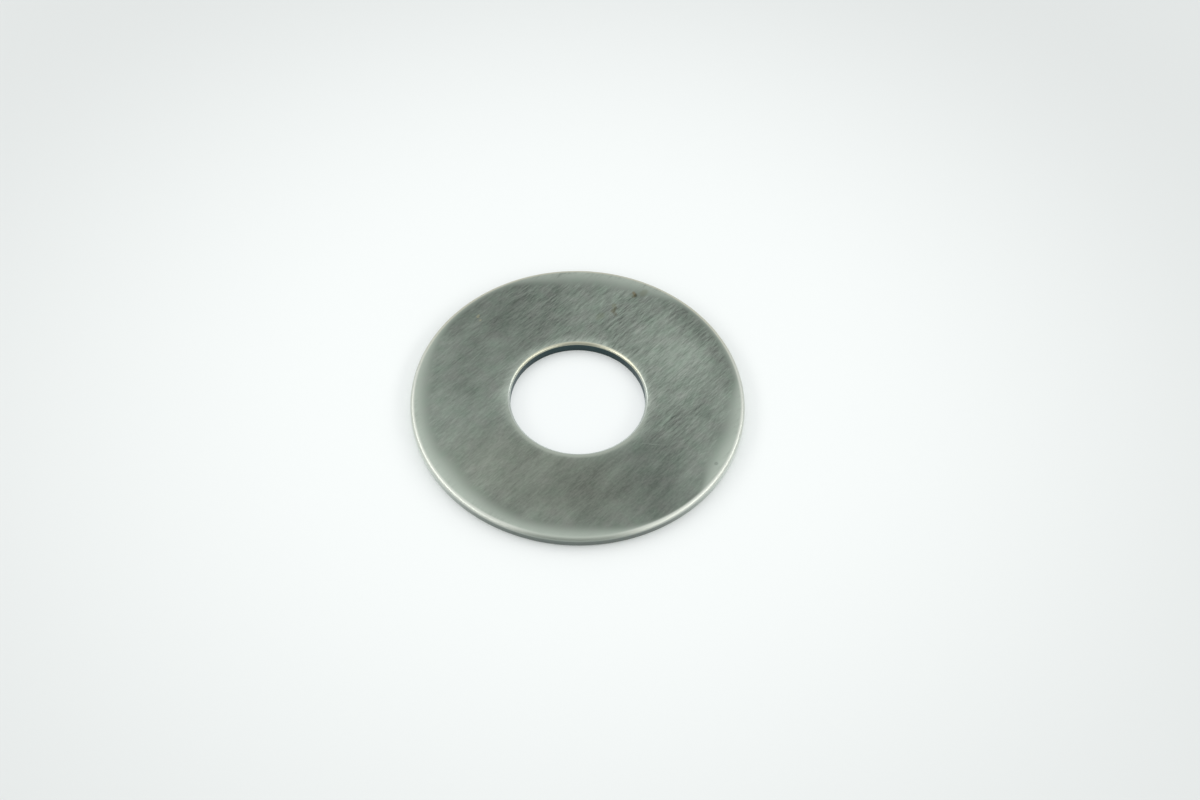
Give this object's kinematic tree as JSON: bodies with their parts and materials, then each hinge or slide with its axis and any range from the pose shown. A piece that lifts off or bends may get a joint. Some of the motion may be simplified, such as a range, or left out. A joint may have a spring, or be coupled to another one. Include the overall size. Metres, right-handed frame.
{
  "type": "flat washer",
  "caption": "Flat round steel washer with a plain bore, rolled shoulders on its upper face and rounded corners, to spread a screw head's load or to space parts on a shaft.",
  "frame": {"origin": "centre of the lower face, on the axis of the bore", "axes": "+Z along the axis of the bore, out of the upper face, which has the rolled shoulders; X and Y are free"},
  "size_m": [0.025, 0.025, 0.001],
  "materials": {
    "steel": "bare carbon steel, belt-ground straight grain on the faces, tumbled and burnished at the edges"
  },
  "bodies": {
    "root": {"washer": "steel"}
  },
  "joints": []
}
